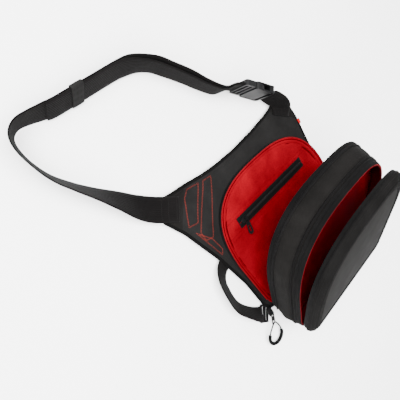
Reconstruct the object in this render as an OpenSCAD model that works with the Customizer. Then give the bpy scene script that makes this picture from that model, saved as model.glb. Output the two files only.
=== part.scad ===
// Thigh / hip bag with a waist belt and a leg strap, lying open on its back.
// X runs across the bag, +Y points up the body when it is worn, +Z points away from the thigh.

/* [Pouch] */
// Half width of the pouch at its widest
half_w = 135.6; // [125:0.2:145]
// Half width of the pouch at the hinge line
half_w_low = 125.6; // [118:0.2:132]
// Height of the pouch outline, from the hinge line to the top
pouch_h = 222.5; // [205:0.5:235]
// Squareness of the pouch's top curve
squareness = 2.76; // [2.2:0.02:3.4]
// Thickness of the lid, from the main zip to the front zip
lid_t = 53.6; // [40:0.2:70]
// Height of the rim around the main compartment
rim_h = 12.5; // [11.5:0.5:16]
// Radius of the pouch's two lower corners
low_r = 20; // [12:1:26]

/* [Opening] */
// Angle that the lid stands open
lid_open = 32; // [20:1:40]
// Angle that the front pocket stands open
flap_open = 5.5; // [4:0.5:12]

/* [Straps] */
// Width of the waist webbing
web_w = 38; // [36:0.5:40]
// Thickness of the waist webbing
web_t = 1.8; // [1.4:0.1:2]
// Width of the leg webbing
leg_w = 25; // [20:1:26]
// Diameter of the zip pull cord
cord_d = 2.4; // [2:0.1:3]
// Thickness of a pull grip
grip_d = 5.6; // [4.5:0.1:6]

/* [Hidden] */

pad_t = 4.5;                       // back padding
panel_top = 6.5;                   // outer face of the panel fabric
hinge_y = -103.3;                  // hinge line of the lid
taper_left = 4;                    // how much the pouch's left side draws in towards its front
taper_right = 24;                  // how much its right side does
taper_top = 11;                    // how much its top does
bulge = 22;                        // how far the lid's lower end hangs below the main hinge line
bulge_z = 22;                      // lid thickness over which it swells
zip_end = 9;                       // where the zips stop, above the main hinge line
crown_y = 101.5;                   // where the top curve starts, above the hinge line
crown_b = pouch_h - crown_y;
K = 40;                            // steps of the top curve
Q = 5;                             // steps of a lower corner
gap = 0.35;                        // clearance on each side of a zip's mating plane

// ---------- outlines ----------
function sgn(v) = v < 0 ? -1 : 1;
function crown(ar, al, b, yc) = [for (i = [0:K]) let (t = 180 * i / K, c = cos(t), s = sin(t))
  [(c < 0 ? al : ar) * sgn(c) * pow(abs(c), 2 / squareness), yc + b * pow(abs(s), 2 / squareness)]];
function bend(cx, cy, r, a0) = [for (i = [0:Q]) let (t = a0 + 90 * i / Q) [cx + r * cos(t), cy + r * sin(t)]];
// pouch outline drawn in by d; k is 0 at the main zip and 1 at the front, low is where its lower end lies
function pouch(d, k = 0, low = 0) = let (ar = half_w - taper_right * k - d, al = half_w - taper_left * k - d,
    br = half_w_low - taper_right * k * 0.6 - d, bl = half_w_low - taper_left * k * 0.6 - d,
    yc = crown_y - taper_top * k, y0 = low + d, r = max(low_r + 6 * k - d, 4), ye = max(y0 + r + 1, zip_end),
    f = (ye - y0) / (yc - y0))
  concat([[br + (ar - br) * f, ye]], crown(ar, al, crown_b - d, yc), [[-bl - (al - bl) * f, ye]],
         bend(-bl + r, y0 + r, r, 180), bend(br - r, y0 + r, r, 270));
// how far the lid's lower end sits from the hinge line at height z
function low_at(z) = z < bulge_z ? -bulge * z / bulge_z : -bulge;
function at_z(p, z) = [for (q = p) [q[0], q[1], z]];
// ring of the lid's wall at height z, drawn in by d
function lid_ring(z, d) = at_z(pouch(d, z / lid_t, low_at(z)), z);
// ring of the front panel, whose own hinge edge is y = 0
function flap_ring(z, d) = [for (q = pouch(d, 1, -bulge)) [q[0], q[1] + bulge, z]];
function base_ring(z, d) = [for (q = pouch(d, 0)) [q[0], q[1] + hinge_y, z]];

// solid through a list of rings, each with the same number of points
module skin(rings, closed = false) {
  n = len(rings[0]);
  m = len(rings);
  side = [for (j = [0:m - (closed ? 1 : 2)]) for (i = [0:n - 1])
    let (a = j * n + i, b = j * n + (i + 1) % n, c = ((j + 1) % m) * n + (i + 1) % n, e = ((j + 1) % m) * n + i)
    each [[a, c, b], [a, e, c]]];
  caps = closed ? [] : [[for (i = [0:n - 1]) i], [for (i = [n - 1:-1:0]) (m - 1) * n + i]];
  polyhedron(points = [for (r = rings) each r], faces = concat(side, caps), convexity = 8);
}
// heights that every band of the lid's wall shares, so that neighbouring bands fit each other
function levels(z0, z1) = concat([z0], [for (z = [1.6, 4, 6, 8, 10, 12, 14, 16, 18, 20, 22, 26, 30, 31.6, 34.5, 37.4, 39.4, 42, 47, 52])
  if (z > z0 + 0.01 && z < z1 - 0.01) z], [z1]);
module wall(z0, z1, d0, d1) { // a band of the lid's wall, all round
  zs = levels(z0, z1);
  skin(concat([for (z = zs) lid_ring(z, d0)], [for (i = [len(zs) - 1:-1:0]) lid_ring(zs[i], d1)]), true);
}
module flap_wall(z0, z1, d0, d1)
  skin([flap_ring(z0, d0), flap_ring(z1, d0), flap_ring(z1, d1), flap_ring(z0, d1)], true);
// the part of a band that a zip covers: up one side, over the top and down the other
module strip(a, b, c, e) skin([for (i = [0:K + 2]) [a[i], b[i], c[i], e[i]]]);
module zip_band(z0, z1, d0, d1) { // up one side of the lid's wall, over the top and down the other
  zs = levels(z0, z1);
  a = [for (z = zs) lid_ring(z, d0)];
  b = [for (z = zs) lid_ring(z, d1)];
  n = len(zs);
  skin([for (i = [0:K + 2]) concat([for (j = [0:n - 1]) a[j][i]], [for (j = [n - 1:-1:0]) b[j][i]])]);
}
module flap_zip_band(z0, z1, d0, d1) strip(flap_ring(z0, d0), flap_ring(z1, d0), flap_ring(z1, d1), flap_ring(z0, d1));
module base_zip_band(z0, z1, d0, d1) strip(base_ring(z0, d0), base_ring(z1, d0), base_ring(z1, d1), base_ring(z0, d1));
module flat(p, z0, z1) translate([0, 0, z0]) linear_extrude(z1 - z0) polygon(p);
module base_wall(z0, z1, d0, d1) translate([0, hinge_y, z0]) linear_extrude(z1 - z0)
  difference() { polygon(pouch(d0)); polygon(pouch(d1)); }
module base_plate(z0, z1, d) translate([0, hinge_y, z0]) linear_extrude(z1 - z0) polygon(pouch(d));
module lid_frame() translate([0, hinge_y, rim_h]) rotate([lid_open, 0, 0]) children();
module flap_frame() lid_frame() translate([0, -bulge, lid_t]) rotate([flap_open, 0, 0]) children();

// ---------- panel ----------
panel_pts = [[-174, 165], [-155, 162], [-134, 160], [-100, 154], [-64, 151], [-20, 151], [28, 155],
  [73, 161], [97, 167], [131, 144], [134, 120], [133, 99], [131, 67], [133, 20], [133, -40], [131, -92],
  [126, -103], [112, -107], [0, -107], [-112, -107], [-126, -103], [-133, -92], [-139, -34], [-154, 29],
  [-178, 101], [-196, 137]];
function area2(p) = let (n = len(p)) [for (i = 0, s = 0; i <= n; s = i < n ? s + p[i][0] * p[(i + 1) % n][1] - p[(i + 1) % n][0] * p[i][1] : s, i = i + 1) if (i == n) s][0];
function unit(v) = v / norm(v);
// outline drawn in by d along its corners' bisectors
function inset(p, d) = let (n = len(p), w = area2(p) > 0 ? 1 : -1) [for (i = [0:n - 1])
  let (e0 = unit(p[i] - p[(i + n - 1) % n]), e1 = unit(p[(i + 1) % n] - p[i]),
    n0 = w * [-e0[1], e0[0]], n1 = w * [-e1[1], e1[0]])
  p[i] + d * (n0 + n1) / (1 + n0 * n1)];

module wing_panel() color([0.2, 0.2, 0.2]) flat(inset(panel_pts, 1.8), pad_t, panel_top);
module edge_binding() color([0.13, 0.13, 0.13]) translate([0, 0, pad_t - 0.5]) linear_extrude(panel_top - pad_t + 0.45)
  difference() { polygon(panel_pts); polygon(inset(panel_pts, 1.8)); }
module panel_stiffener() color([0.75, 0.75, 0.72]) base_plate(panel_top, 8, 3.2);
module back_lining() color([0.75, 0.08, 0.1]) base_plate(8, 8.7, 3.2);
module back_pad_upper() color([0.1, 0.1, 0.1])
  flat([[-120, 36], [122, 36], [122, 100], [108, 138], [88, 146], [-60, 142], [-125, 146], [-150, 118], [-140, 70]], 0, pad_t);
module back_pad_lower() color([0.1, 0.1, 0.1])
  flat([[-112, 1], [-112, -90], [-100, -102], [100, -102], [118, -90], [120, 1]], 0, pad_t);
module left_wing_tab() color([0.17, 0.17, 0.17])
  flat([[-135, 157.5], [-153.5, 159.3], [-172.5, 162], [-192.8, 136.6], [-178.6, 107]], panel_top, 7.3);
module right_wing_tab() color([0.17, 0.17, 0.17])
  flat([[82, 160], [97.3, 164.4], [128.9, 143], [131, 118]], panel_top, 7.3);
module side_tab() color([0.7, 0.08, 0.08]) translate([131.2, 106, 7]) cube([7, 9, 1.2]);

// raised outline stitching: sloped bars and a chevron on the left wing
module stitch(p, w = 1.3, h = 0.6) translate([0, 0, panel_top]) linear_extrude(h)
  difference() { polygon(p); polygon(inset(p, w)); }
module wing_motif() color([0.62, 0.2, 0.17]) {
  stitch([[-146, 143], [-134, 152], [-112, 148], [-150, 100], [-167, 104]]);
  stitch([[-104, 146], [-86, 144], [-142, 66], [-156, 70], [-157, 86]]);
  stitch([[-163, 92], [-160, 80], [-146, 32], [-139, 40], [-145, 66]]);
}

// ---------- rim of the main compartment ----------
module rim_gusset() color([0.16, 0.16, 0.16]) base_wall(panel_top, rim_h - 1.6, 0.8, 2.2);
module rim_lining() color([0.75, 0.08, 0.1]) base_wall(panel_top, rim_h - gap, 2.2, 3.2);
module main_zip_panel_tape() color([0.1, 0.1, 0.1]) base_zip_band(panel_top, rim_h - gap, 0, 0.8);
module main_zip_panel_teeth() color([0.55, 0.1, 0.12]) base_zip_band(rim_h - 1.6, rim_h - gap, 0.8, 2.2);
module hinge_tape() color([0.12, 0.12, 0.12])
  translate([-100, hinge_y - 0.9, panel_top]) cube([200, 0.9, rim_h - 1.6 - panel_top]);

// ---------- inner pocket zip ----------
zip_y = 51;
module inner_zip_tape() color([0.08, 0.08, 0.08]) difference() {
  translate([-91, zip_y - 8.5, 8.7]) cube([180, 17, 0.7]);
  translate([-84, zip_y - 1, 8]) cube([166, 2, 2]);
}
module inner_zip_coil() color([0.05, 0.05, 0.05]) translate([-86, zip_y - 2.2, 9.4]) cube([170, 4.4, 0.8]);
slider_x = -78;
pin_z = 13.9;      // height of the inner pull's pin
module inner_slider() color([0.12, 0.12, 0.12]) translate([slider_x, zip_y, 10.5]) difference() {
  union() {
    translate([-6, -4.4, 0]) cube([12, 8.8, 1.2]);
    translate([-1, -3.4, 1.2]) cube([2, 6.8, 4.2]);
  }
  translate([-3, -2, 2.2]) cube([6, 4, 2.2]);
}
module inner_pull() color([0.1, 0.1, 0.1]) translate([slider_x, zip_y, pin_z]) {
  translate([-3.4, -0.5, -0.5]) cube([6.8, 1, 1]);
  for (m = [0, 1]) mirror([m, 0, 0]) translate([2.2, -7.5, -0.5]) cube([1.2, 8, 1]);
  translate([0, -6.5, 0]) rotate([0, 0, -14]) translate([0, 0, -0.5]) linear_extrude(1) difference() {
    union() {
      polygon([[-3.6, 1], [3.6, 1], [4.8, -16], [-4.8, -16]]);
      translate([0, -16]) circle(r = 4.8, $fn = 48);
    }
    translate([-1.7, -16.5]) square([3.4, 11]);
  }
}

// ---------- zip sliders and pulls ----------
// slider along +Y, with a narrow bail over the pull's pin
module slider_body() difference() {
  union() {
    translate([-4.5, -3, -3.6]) cube([9, 13, 3.6]);
    translate([-1, -2, -0.2]) cube([2, 9, 3.7]);
  }
  translate([-3, -0.8, 0.8]) cube([6, 6.3, 1.9]);
}
// the pull hangs towards -Y from its pin, which lies in the bail
module pull_tab() {
  translate([-3.4, -0.5, -0.5]) cube([6.8, 1, 1]);
  for (m = [0, 1]) mirror([m, 0, 0]) translate([2.2, -7, -0.5]) cube([1.2, 7.5, 1]);
  translate([0, -6, -0.5]) linear_extrude(1) difference() {
    polygon([[-3.4, 0], [3.4, 0], [3.8, -15], [-3.8, -15]]);
    translate([-1.9, -12.5]) square([3.8, 3.4]);
  }
}
// curved grip bar, a little over half a ring
grip_r = 15;
module pull_grip(a0 = 150, sweep = 215) translate([0, -45, 0])
  rotate([0, 0, a0]) rotate_extrude(angle = sweep, $fn = 96) translate([grip_r, 0]) circle(r = grip_d / 2, $fn = 32);
// tube through a list of points
function dirs(p) = let (n = len(p)) [for (i = [0:n - 1]) unit(p[min(i + 1, n - 1)] - p[max(i - 1, 0)])];
function tube_ring(c, t, r, k) = let (u = unit(cross(t, [0, 0, 1])), v = cross(u, t))
  [for (i = [0:k - 1]) let (a = 360 * i / k) c + r * (cos(a) * u + sin(a) * v)];
module tube(p, r, k = 8) let (d = dirs(p)) skin([for (i = [0:len(p) - 1]) tube_ring(p[i], d[i], r, k)]);
function arc_pt(a) = [grip_r * cos(a), -45 + grip_r * sin(a), 0];
module pull_cord(a0 = 150, a1 = 5) {
  tube([arc_pt(a0), [-11, -32, 0.3], [-8.2, -27, 1], [-5, -21.8, 1.5], [0, -17.4, 1.9], [5, -21.8, 1.5], [9, -28.4, 1], [13, -36, 0.3], arc_pt(a1)], cord_d / 2);
}

main_bail = [-133.5, -106, 14];
main_tilt = 12.2;    // the main pull slopes down to the floor
main_turn = -16;   // and swings out past the panel's corner
module main_slider() color([0.1, 0.1, 0.1]) translate(main_bail) slider_body();
module main_pull_frame() translate(main_bail + [0, 1.5, 1.7]) rotate([main_tilt, 0, 0]) rotate([0, 0, main_turn]) children();
module main_pull_tab() color([0.1, 0.1, 0.1]) main_pull_frame() pull_tab();
module main_pull_cord() color([0.07, 0.07, 0.07]) main_pull_frame() pull_cord();
module main_pull_grip() color([0.09, 0.09, 0.09]) main_pull_frame() pull_grip();

front_bail = [half_w_low - taper_right * 0.6 + 6.6, 2, 50];
module front_slider() color([0.1, 0.1, 0.1]) lid_frame() translate(front_bail) slider_body();
module front_pull_frame() lid_frame() translate(front_bail + [0, 1.5, 1.7]) rotate([0, 0, 8]) mirror([1, 0, 0]) children();
module front_pull_tab() color([0.1, 0.1, 0.1]) front_pull_frame() pull_tab();
module front_pull_cord() color([0.07, 0.07, 0.07]) front_pull_frame() pull_cord();
module front_pull_grip() color([0.09, 0.09, 0.09]) front_pull_frame() pull_grip();

// ---------- lid ----------
div_z = 30;
module lid_zip_tape() color([0.1, 0.1, 0.1]) lid_frame() zip_band(gap, 10, 0, 0.7);
module lid_zip_teeth() color([0.55, 0.1, 0.12]) lid_frame() zip_band(gap, 1.6, 0.8, 2.2);
module lid_gusset() color([0.2, 0.2, 0.2]) lid_frame() wall(1.6, lid_t - 1.6, 0.8, 2.2);
module lid_lining() color([0.75, 0.08, 0.1]) lid_frame() wall(gap, div_z, 2.6, 3.3);
module lid_divider() color([0.72, 0.08, 0.1]) lid_frame() skin([lid_ring(div_z, 2.3), lid_ring(div_z + 1.6, 2.3)]);
module lid_piping() color([0.08, 0.08, 0.08]) lid_frame() wall(37.4, 39.4, -0.9, 0.76);
module front_pocket_lining() color([0.5, 0.05, 0.07]) lid_frame() wall(div_z + 1.6, lid_t - gap, 2.6, 3.3);
module front_zip_lid_tape() color([0.1, 0.1, 0.1]) lid_frame() zip_band(42, lid_t - gap, 0, 0.7);
module front_zip_lid_teeth() color([0.55, 0.1, 0.12]) lid_frame() zip_band(lid_t - 1.6, lid_t - gap, 0.8, 2.2);

// ---------- front flap ----------
module flap_zip_tape() color([0.1, 0.1, 0.1]) flap_frame() flap_zip_band(gap, 6, 0, 0.8);
module flap_zip_teeth() color([0.55, 0.1, 0.12]) flap_frame() flap_zip_band(gap, 1.6, 0.8, 2.2);
module flap_gusset() color([0.2, 0.2, 0.2]) flap_frame() flap_wall(1.6, 7, 0.8, 2.2);
module flap_piping() color([0.08, 0.08, 0.08]) flap_frame() flap_wall(6, 7, -0.7, 0.8);
module flap_lining() color([0.72, 0.08, 0.1]) flap_frame()
  skin([flap_ring(6.2, 3.2), flap_ring(gap, 3.2), flap_ring(gap, 2.2), flap_ring(7, 2.2)]);
module moulded_panel() color([0.16, 0.16, 0.16]) flap_frame()
  skin([flap_ring(7, 0), flap_ring(9, 0), flap_ring(13, 2), flap_ring(16.5, 6), flap_ring(18.4, 11),
    flap_ring(18.8, 16), flap_ring(17.6, 20), flap_ring(16.8, 21)]);
module centre_film() color([0.36, 0.36, 0.35]) flap_frame()
  skin([flap_ring(16.8, 21.5), flap_ring(17.5, 21.5), flap_ring(17.9, 23)]);

// ---------- ribbons ----------
// a station is [x, y, z of the resting edge, heading of the other edge, tilt of the ribbon]
function across(s) = [cos(s[4]) * cos(s[3]), cos(s[4]) * sin(s[3]), sin(s[4])];
function facing(s) = [-sin(s[4]) * cos(s[3]), -sin(s[4]) * sin(s[3]), cos(s[4])];
function ribbon_ring(s, w, t, off) = let (b = [s[0], s[1], s[2]] + off * facing(s), a = across(s), n = facing(s))
  [b - n * t / 2, b + a * w - n * t / 2, b + a * w + n * t / 2, b + n * t / 2];
function mix(a, b, f) = a * (1 - f) + b * f;
// smooth curve through the stations, m steps in each span
function spline(p, m) = let (n = len(p)) concat([for (i = [0:n - 2]) for (j = [0:m - 1])
  let (f = j / m, a = p[max(i - 1, 0)], b = p[i], c = p[i + 1], e = p[min(i + 2, n - 1)])
  0.5 * (2 * b + (c - a) * f + (2 * a - 5 * b + 4 * c - e) * f * f + (3 * b - a - 3 * c + e) * f * f * f)], [p[n - 1]]);
module ribbon(st, w, t, off = 0, m = 3) skin([for (s = spline(st, m)) ribbon_ring(s, w, t, off)]);

// waist belt, from the left wing round to the buckle; headings point away from the loop's inside
belt_route = [[-152, 152, 8.25, 235, 0], [-172, 166, 8.4, 233, 3], [-186, 177, 5, 231, 10], [-202, 192, 1.8, 229, 24],
  [-222, 213, 2.6, 226, 44], [-243, 234, 2.6, 221, 60], [-262, 256, 2.6, 213, 68], [-278, 279, 2.6, 204, 72],
  [-287, 304, 2.6, 191, 74], [-289, 324, 2.6, 178, 73], [-286, 337, 2.6, 146, 73], [-276, 343, 2.6, 112, 73],
  [-262, 342, 2.6, 98, 71], [-244, 338, 2.6, 92, 66], [-226, 335, 2.6, 90, 63], [-180, 335, 2.6, 90, 63],
  [-134, 335, 2.6, 90, 63], [-113, 335.5, 2.6, 87, 67], [-93, 333, 2.6, 78, 80], [-73, 325, 2.6, 60, 93],
  [-59, 311.5, 2.6, 47, 98], [-37, 289, 2.6, 41, 103], [-19, 266, 2.6, 40, 102], [2, 244, 2.8, 46, 97], [21, 238, 4.2, 50, 91], [34, 230, 5.2, 48, 90], [42, 222.8, 5.6, 48, 90]];
module belt_webbing() color([0.13, 0.12, 0.12]) ribbon(belt_route, web_w, web_t, 0, 2);
// the free end folds back through the buckle along the belt's upper face
tail_route = [[-240, 337, 2.6, 91, 65], [-226, 335, 2.6, 90, 63], [-180, 335, 2.6, 90, 63],
  [-134, 335, 2.6, 90, 63], [-114, 333.4, 2.6, 87, 67], [-95.5, 329.6, 2.6, 78, 80], [-77.5, 320.8, 2.6, 60, 93],
  [-63, 307.5, 2.6, 47, 98], [-41, 285, 2.6, 41, 103], [-21.5, 263, 2.6, 40, 102], [0.8, 242, 2.8, 46, 97], [20.4, 237.4, 4.2, 50, 91], [34, 230, 5.2, 48, 90], [40, 224.6, 5.6, 48, 90]];
module belt_tail() color([0.13, 0.12, 0.12]) ribbon(tail_route, web_w - 0.6, web_t - 0.2, web_t + 0.5, 2);

// ---------- keeper ----------
keeper_x = -204;
function keeper_ring(x, e) = let (s = [0, 335, 2.6, 90, 63], a = across(s), n = facing(s),
    b = [x, 335, 2.6], lo = -web_t / 2 - 0.5 - e, hi = web_t * 1.5 + 1.1 + e)
  [b - a * (0.5 + e) + n * lo, b + a * (web_w + 0.5 + e) + n * lo, b + a * (web_w + 0.5 + e) + n * hi, b - a * (0.5 + e) + n * hi];
module belt_keeper() color([0.22, 0.22, 0.22])
  skin([keeper_ring(keeper_x, 0), keeper_ring(keeper_x, 1), keeper_ring(keeper_x + 18, 1), keeper_ring(keeper_x + 18, 0)], true);

// ---------- side-release buckle, standing on its long edge ----------
buckle_at = [48.4, 217.1, 24.6];
buckle_turn = -42;
module buckle_frame() translate(buckle_at) rotate([0, 0, buckle_turn]) rotate([90, 0, 0]) children();
module rbox(x0, x1, hy, hz, r) // box with rounded long corners, centred on the X axis
  translate([0, 0, -hz]) linear_extrude(2 * hz) hull() for (x = [x0 + r, x1 - r], y = [-hy + r, hy - r]) translate([x, y]) circle(r = r, $fn = 32);
module buckle_female() color([0.06, 0.06, 0.06]) buckle_frame() difference() {
  rbox(0, 38, 24, 6.2, 5);
  translate([-1, -19.5, -4]) cube([28, 39, 8]);
  translate([10.8, -30, -4]) cube([15.6, 60, 8]);
  translate([29.8, -20, -10]) cube([4.6, 40, 20]);
}
module buckle_male() color([0.06, 0.06, 0.06]) buckle_frame() difference() {
  union() {
    rbox(-20, -0.4, 24, 4.6, 4);
    translate([-0.4, -2.6, -3.4]) cube([21, 5.2, 6.8]);
  }
  translate([-17.2, -20, -10]) cube([4.4, 40, 20]);
  translate([-9.8, -20, -10]) cube([4.4, 40, 20]);
}
module prong() translate([0, 0, -3.3]) linear_extrude(6.6)
  polygon([[0.8, 8.4], [0.8, 13], [11.4, 14.4], [11.8, 21.4], [15.2, 22], [25.6, 13], [25.6, 10.4], [18, 9.4]]);
module buckle_prong_upper() color([0.06, 0.06, 0.06]) buckle_frame() prong();
module buckle_prong_lower() color([0.06, 0.06, 0.06]) buckle_frame() mirror([0, 1, 0]) prong();
// webbing from the buckle's fixed end to the right wing
anchor_route = [[70.2, 197.4, 5.6, 48, 90], [76.6, 191.7, 5.6, 44, 90], [80, 183, 5.4, -6, 72], [85, 173, 6.2, -24, 44],
  [89.5, 165, 8.1, -32, 16], [88.5, 158, 8.7, -34, 3], [84.5, 151.5, 8.3, -34, 0]];
module buckle_anchor_webbing() color([0.13, 0.12, 0.12]) ribbon(anchor_route, web_w, web_t);
module belt_bartacks() color([0.3, 0.28, 0.27]) {
  translate([0, 0, 9.95]) for (k = [0:2]) translate([-166.5 + k * 3.4, 129.5 + k * 4.4, 0]) rotate([0, 0, 54]) translate([0, -15, 0]) cube([0.9, 30, 0.4]);
}

// ---------- leg strap ----------
leg_loop = [[118, 6, 1.4, 90, 0], [40, 6, 1.4, 90, 0], [-60, 6, 1.4, 90, 0], [-118, 6, 1.4, 92, 0], [-136, 6.5, 1.4, 100, 1],
  [-149, 5, 1.4, 118, 4], [-158, 0, 1.4, 142, 20], [-164, -9, 1.4, 160, 37], [-166.6, -24, 1.4, 174, 41], [-167.6, -38, 1.4, 184, 42],
  [-166.2, -50, 1.4, 194, 43], [-161.6, -61, 1.4, 206, 45], [-154.5, -72, 1.4, 214, 42], [-146.5, -81.5, 1.4, 222, 32], [-137, -89, 1.6, 232, 14]];
module leg_strap() color([0.15, 0.14, 0.14]) ribbon(leg_loop, leg_w, 1.5, 0, 2);
module leg_triglide() color([0.06, 0.06, 0.06]) translate([-139.5, -103, 2.1]) rotate([0, 0, -38]) difference() {
  translate([-8, -15, -1.7]) cube([16, 30, 3.4]);
  translate([-5.6, -12.4, -5]) cube([3.6, 24.8, 10]);
  translate([2, -12.4, -5]) cube([3.6, 24.8, 10]);
}

wing_panel();
panel_stiffener();
back_pad_upper();
back_pad_lower();
edge_binding();
left_wing_tab();
right_wing_tab();
rim_gusset();
rim_lining();
back_lining();
inner_zip_tape();
inner_zip_coil();
main_zip_panel_tape();
main_zip_panel_teeth();
main_slider();
hinge_tape();
wing_motif();
side_tab();
belt_bartacks();
belt_webbing();
belt_tail();
buckle_male();
buckle_female();
buckle_anchor_webbing();
leg_strap();
leg_triglide();
lid_zip_tape();
lid_zip_teeth();
lid_gusset();
lid_lining();
lid_divider();
lid_piping();
front_zip_lid_tape();
front_zip_lid_teeth();
front_pocket_lining();
front_slider();
flap_zip_tape();
flap_zip_teeth();
flap_gusset();
flap_piping();
flap_lining();
moulded_panel();
centre_film();
inner_slider();
inner_pull();
main_pull_tab();
main_pull_cord();
main_pull_grip();
front_pull_tab();
front_pull_cord();
front_pull_grip();
buckle_prong_upper();
buckle_prong_lower();
belt_keeper();
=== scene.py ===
import math
import bpy
import bmesh
import numpy as np
from mathutils import Matrix, Vector, noise


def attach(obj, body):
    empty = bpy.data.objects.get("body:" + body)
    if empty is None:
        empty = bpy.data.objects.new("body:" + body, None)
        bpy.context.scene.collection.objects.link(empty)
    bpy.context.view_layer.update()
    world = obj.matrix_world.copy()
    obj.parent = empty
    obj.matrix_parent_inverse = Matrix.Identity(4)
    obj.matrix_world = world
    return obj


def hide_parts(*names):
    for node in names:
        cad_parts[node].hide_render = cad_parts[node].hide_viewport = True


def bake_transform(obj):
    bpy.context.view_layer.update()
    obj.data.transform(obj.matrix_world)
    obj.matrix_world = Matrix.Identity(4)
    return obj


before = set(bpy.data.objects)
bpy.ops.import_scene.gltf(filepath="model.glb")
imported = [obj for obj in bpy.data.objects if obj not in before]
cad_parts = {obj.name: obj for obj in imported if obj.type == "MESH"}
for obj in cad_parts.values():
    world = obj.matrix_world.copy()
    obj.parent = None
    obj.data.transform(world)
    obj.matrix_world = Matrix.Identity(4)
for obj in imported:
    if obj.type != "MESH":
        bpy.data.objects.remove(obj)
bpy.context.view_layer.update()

MM = 0.001

# ------------------------------------------------------------------ camera
R = np.array([0.66412697, -0.52608816, 0.53119358])
U = np.array([0.60150686, 0.7979516, 0.03824586])
F = np.array([0.44398746, -0.29411647, -0.84638681])
C = np.array([-390.9, 301.0, 513.3])
cd = bpy.data.cameras.new("camera")
cam = bpy.data.objects.new("camera", cd)
bpy.context.scene.collection.objects.link(cam)
m = np.eye(4)
m[:3, 0], m[:3, 1], m[:3, 2], m[:3, 3] = R, U, -F, C * MM
cam.matrix_world = Matrix(m.tolist())
cd.lens, cd.sensor_width = 35.48, 36.0
cd.clip_start, cd.clip_end = 0.01, 20
bpy.context.scene.camera = cam

# ------------------------------------------------------------------ the CAD model's own numbers, mm
half_w, half_w_low, pouch_h, squareness = 135.6, 125.6, 222.5, 2.76
lid_t, rim_h, low_r = 53.6, 12.5, 20.0
lid_open, flap_open = 32.0, 5.5
hinge_y, bulge, bulge_z, zip_end, crown_y = -103.3, 22.0, 22.0, 9.0, 101.5
t_left, t_right, t_top = 4.0, 24.0, 11.0
crown_b = pouch_h - crown_y
web_w, web_t, leg_w, cord_d = 38.0, 1.8, 25.0, 2.4
zip_y = 51.0
div_z = 30.0
KC, QC = 110, 10
SEG = [12] + [1] * KC + [12, 2] + [1] * QC + [44] + [1] * QC + [2]
NU = 12 + KC + 12          # index of the zip's far end
NR = sum(SEG)


def pouch(d, k=0.0, low=0.0):
    ar, al = half_w - t_right * k - d, half_w - t_left * k - d
    br, bl = half_w_low - t_right * k * 0.6 - d, half_w_low - t_left * k * 0.6 - d
    yc, y0, r = crown_y - t_top * k, low + d, max(low_r + 6 * k - d, 4)
    ye = max(y0 + r + 1, zip_end)
    f = (ye - y0) / (yc - y0)
    t = np.radians(180 * np.arange(KC + 1) / KC)
    c, s = np.cos(t), np.clip(np.sin(t), 0, 1)
    p = 2 / squareness
    X = np.where(c < 0, al, ar) * np.sign(c) * np.abs(c) ** p
    Y = yc + (crown_b - d) * s ** p
    pts = [(br + (ar - br) * f, ye)] + list(zip(X, Y)) + [(-bl - (al - bl) * f, ye)]
    for cx, a0 in ((-bl + r, 180), (br - r, 270)):
        for i in range(QC + 1):
            a = math.radians(a0 + 90 * i / QC)
            pts.append((cx + r * math.cos(a), y0 + r + r * math.sin(a)))
    out = []
    n = len(pts)
    for i in range(n):
        a, b = np.array(pts[i]), np.array(pts[(i + 1) % n])
        for j in range(SEG[i]):
            out.append(a + (b - a) * j / SEG[i])
    return np.array(out)


def low_at(z):
    return -bulge * min(max(z, 0), bulge_z) / bulge_z


def rot_x(P, deg):
    a = math.radians(deg)
    Q = np.array(P, float).copy()
    y, z = Q[..., 1].copy(), Q[..., 2].copy()
    Q[..., 1] = y * math.cos(a) - z * math.sin(a)
    Q[..., 2] = y * math.sin(a) + z * math.cos(a)
    return Q


def lid_w(P):
    return rot_x(P, lid_open) + np.array([0, hinge_y, rim_h])


def flap_w(P):
    return lid_w(rot_x(P, flap_open) + np.array([0, -bulge, lid_t]))


def base_w(P):
    return np.array(P, float)


def lid_ring(z, d):
    q = pouch(d, z / lid_t, low_at(z))
    return np.column_stack([q, np.full(len(q), z)])


def flap_ring(z, d):
    q = pouch(d, 1, -bulge)
    return np.column_stack([q[:, 0], q[:, 1] + bulge, np.full(len(q), z)])


def base_ring(z, d):
    q = pouch(d, 0, 0)
    return np.column_stack([q[:, 0], q[:, 1] + hinge_y, np.full(len(q), z)])


# ------------------------------------------------------------------ materials
def nt(name):
    mt = bpy.data.materials.new(name)
    mt.use_nodes = True
    t = mt.node_tree
    b = t.nodes["Principled BSDF"]
    return mt, t, b


def add(t, kind, **kw):
    n = t.nodes.new(kind)
    for k, v in kw.items():
        if k.startswith("in_"):
            n.inputs[k[3:].replace("_", " ")].default_value = v
        else:
            setattr(n, k, v)
    return n


def ramp(t, src, stops):
    r = t.nodes.new("ShaderNodeValToRGB")
    e = r.color_ramp.elements
    while len(e) < len(stops):
        e.new(0.5)
    for x, (p, c) in zip(e, stops):
        x.position = p
        x.color = (*c, 1) if len(c) == 3 else c
    t.links.new(src, r.inputs[0])
    return r


def mathn(t, op, a, b=None, c=None):
    n = t.nodes.new("ShaderNodeMath")
    n.operation = op
    for i, v in enumerate((a, b, c)):
        if v is None:
            continue
        if isinstance(v, (int, float)):
            n.inputs[i].default_value = v
        else:
            t.links.new(v, n.inputs[i])
    return n.outputs[0]


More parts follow.
